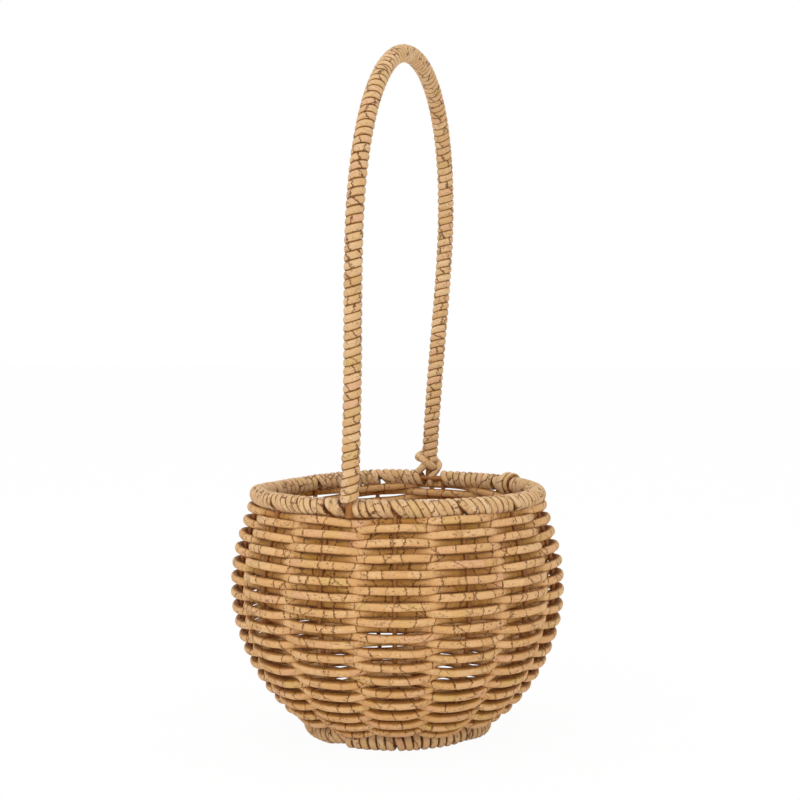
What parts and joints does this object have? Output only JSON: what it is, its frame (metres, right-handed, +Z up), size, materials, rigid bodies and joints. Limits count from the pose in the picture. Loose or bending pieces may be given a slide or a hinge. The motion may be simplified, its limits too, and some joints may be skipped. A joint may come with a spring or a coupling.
{
  "type": "woven basket",
  "caption": "Small round basket on a painted wire frame, woven and bound with tan paper cord, with one tall fixed arched handle over its open mouth.",
  "frame": {"origin": "on the floor, at the middle of the foot ring", "axes": "+Z up; the handle's arch spans X, and the mouth opens upwards"},
  "size_m": [0.173, 0.1664, 0.3401],
  "materials": {
    "painted_iron_wire": "satin",
    "woven_paper_cord": "matte",
    "wound_paper_cord": "matte"
  },
  "bodies": {
    "root": {"hub_ring": "painted_iron_wire", "foot_hoop": "painted_iron_wire", "rim_hoop": "painted_iron_wire", "rib_01": "painted_iron_wire", "rib_02": "painted_iron_wire", "rib_03": "painted_iron_wire", "rib_04": "painted_iron_wire", "rib_05": "painted_iron_wire", "rib_06": "painted_iron_wire", "rib_07": "painted_iron_wire", "rib_08": "painted_iron_wire", "rib_09": "painted_iron_wire", "rib_10": "painted_iron_wire", "rib_11": "painted_iron_wire", "rib_12": "painted_iron_wire", "rib_13": "painted_iron_wire", "handle_wire": "painted_iron_wire", "wall_cord_1": "woven_paper_cord", "wall_cord_2": "woven_paper_cord", "wall_cord_3": "woven_paper_cord", "wall_cord_4": "woven_paper_cord", "wall_cord_5": "woven_paper_cord", "wall_cord_6": "woven_paper_cord", "bottom_cord": "woven_paper_cord", "handle_binding": "wound_paper_cord", "rim_binding_left": "wound_paper_cord", "rim_binding_right": "wound_paper_cord", "foot_binding": "wound_paper_cord", "handle_lashing": "wound_paper_cord"}
  },
  "joints": []
}
